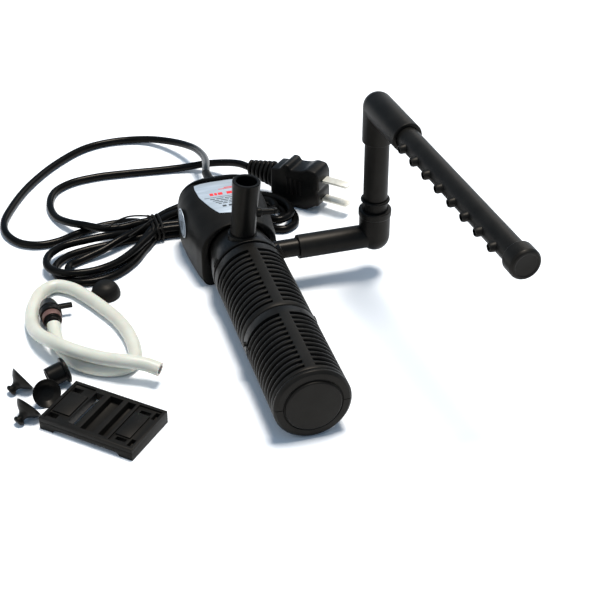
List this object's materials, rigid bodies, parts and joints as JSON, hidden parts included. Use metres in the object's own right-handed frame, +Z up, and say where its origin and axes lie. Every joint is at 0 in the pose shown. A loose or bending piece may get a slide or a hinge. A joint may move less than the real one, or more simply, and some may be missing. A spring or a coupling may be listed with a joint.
{
  "type": "internal power filter",
  "caption": "Submersible aquarium filter lying on its back: slotted strainer canister, motor head, open spout, elbowed spray bar, mains lead and loose fitting kit.",
  "frame": {"origin": "middle of the flat back of the motor housing, on the surface the filter lies on", "axes": "+Z up, out of the label face; +Y along the canister axis from the strainer towards the cable end; +X towards the outlet nozzle and riser"},
  "size_m": [0.2375, 0.353, 0.1131],
  "materials": {
    "black_plastic": "satin black moulding",
    "black_rubber": "satin",
    "black_vinyl": "semi-gloss",
    "silver_label": "printed foil",
    "stator_steel": "laminated",
    "bobbin_plastic": "matt",
    "copper_wire": "enamelled wire",
    "ferrite": "dull",
    "ceramic": "ground ceramic",
    "impeller_plastic": "matt",
    "foam": "open cell foam",
    "blade_metal": "nickel plated",
    "clear_vinyl": "milky, translucent",
    "valve_plastic": "satin",
    "valve_ring_copper": "copper coloured"
  },
  "bodies": {
    "filter": {"motor_housing": "black_plastic", "rear_cap": "black_plastic", "front_label": "silver_label", "side_badge": "silver_label", "stator_core": "stator_steel", "coil_bobbin": "bobbin_plastic", "coil_winding": "copper_wire", "rotor_shaft": "ceramic", "rear_bush": "black_rubber", "front_bush": "black_rubber", "impeller_chamber": "black_plastic", "chamber_seal": "black_rubber", "outlet_spout": "black_plastic", "cord_gland": "black_rubber", "cord_hank": "black_vinyl", "cord_tie": "black_vinyl", "cord_run_head": "black_vinyl", "cord_run_plug": "black_vinyl", "plug_body": "black_vinyl", "plug_relief": "black_vinyl", "plug_blade_upper": "blade_metal", "plug_blade_lower": "blade_metal", "mounting_bracket": "black_plastic", "suction_cup_1": "black_rubber", "suction_cup_2": "black_rubber", "suction_cup_3": "black_rubber", "suction_cup_4": "black_rubber", "adapter_sleeve": "black_rubber", "airline_hose": "clear_vinyl", "valve_body": "valve_plastic", "valve_ring": "valve_ring_copper"},
    "rotor": {"rotor_magnet": "ferrite", "impeller": "impeller_plastic"},
    "upper_strainer": {"strainer_upper": "black_plastic", "sponge_upper": "foam"},
    "lower_strainer": {"strainer_lower": "black_plastic", "sponge_lower": "foam"},
    "end_cap": {"strainer_end_cap": "black_plastic"},
    "lower_elbow": {"lower_elbow": "black_plastic"},
    "riser": {"riser_tube": "black_plastic", "riser_ring": "black_rubber"},
    "upper_elbow": {"upper_elbow": "black_plastic"},
    "spray_bar": {"spray_bar": "black_plastic"},
    "spray_bar_cap": {"spray_bar_cap": "black_plastic"},
    "valve_knob": {"valve_knob": "black_plastic"}
  },
  "joints": [
    {"name": "rotor_spin", "type": "hinge", "parent": "filter", "child": "rotor", "pos_m": [0, 0, 0.02], "axis": [0, 1, 0], "continuous": true},
    {"name": "canister_twist", "type": "hinge", "parent": "filter", "child": "upper_strainer", "pos_m": [0, 0, 0.02], "axis": [0, 1, 0], "range_deg": [0, 25]},
    {"name": "lower_section_pull", "type": "slide", "parent": "upper_strainer", "child": "lower_strainer", "axis": [0, -1, 0], "range_m": [0, 0.05]},
    {"name": "end_cap_pull", "type": "slide", "parent": "lower_strainer", "child": "end_cap", "axis": [0, -1, 0], "range_m": [0, 0.02]},
    {"name": "lower_elbow_swivel", "type": "hinge", "parent": "filter", "child": "lower_elbow", "pos_m": [0.0355, -0.038, 0.024], "axis": [1, 0, 0], "range_deg": [-60, 25]},
    {"name": "riser_turn", "type": "hinge", "parent": "lower_elbow", "child": "riser", "pos_m": [0.0755, -0.038, 0.035], "axis": [0, 0, 1], "continuous": true},
    {"name": "upper_elbow_turn", "type": "hinge", "parent": "riser", "child": "upper_elbow", "pos_m": [0.0755, -0.038, 0.09], "axis": [0, 0, 1], "range_deg": [-90, 90]},
    {"name": "spray_bar_roll", "type": "hinge", "parent": "upper_elbow", "child": "spray_bar", "pos_m": [0.0755, -0.038, 0.1045], "axis": [0.0872, -0.9962, 0], "continuous": true},
    {"name": "spray_bar_cap_pull", "type": "slide", "parent": "spray_bar", "child": "spray_bar_cap", "axis": [0.0872, -0.9962, 0], "range_m": [0, 0.015]},
    {"name": "valve_knob_turn", "type": "hinge", "parent": "filter", "child": "valve_knob", "pos_m": [-0.1086, -0.0315, 0.0062], "axis": [0, -1, 0], "range_deg": [0, 90]}
  ]
}
